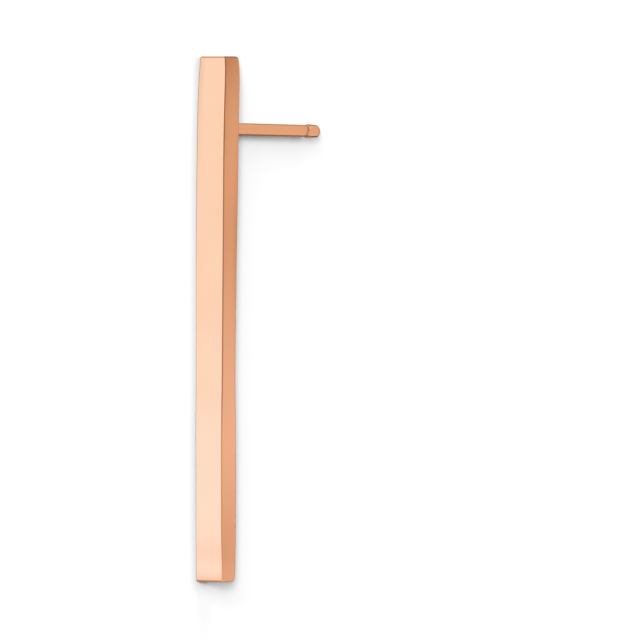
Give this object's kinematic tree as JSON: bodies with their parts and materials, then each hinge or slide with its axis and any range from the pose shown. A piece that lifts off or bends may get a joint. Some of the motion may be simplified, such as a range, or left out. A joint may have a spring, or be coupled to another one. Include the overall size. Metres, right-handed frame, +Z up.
{
  "type": "bar earring",
  "caption": "Slim straight bar stud earring: a polished rectangular metal bar, slightly bowed, with a soldered and notched post near one end, lying on one long side.",
  "frame": {"origin": "middle of the long side that the bar rests on", "axes": "+Z up from the resting side, +Y along the bar to the end with the post, +X from the front of the bar through its back and along the post"},
  "size_m": [0.0111, 0.036, 0.0026],
  "materials": {
    "rose_gold": "polished rose gold"
  },
  "bodies": {
    "root": {"bar_with_post": "rose_gold"}
  },
  "joints": []
}
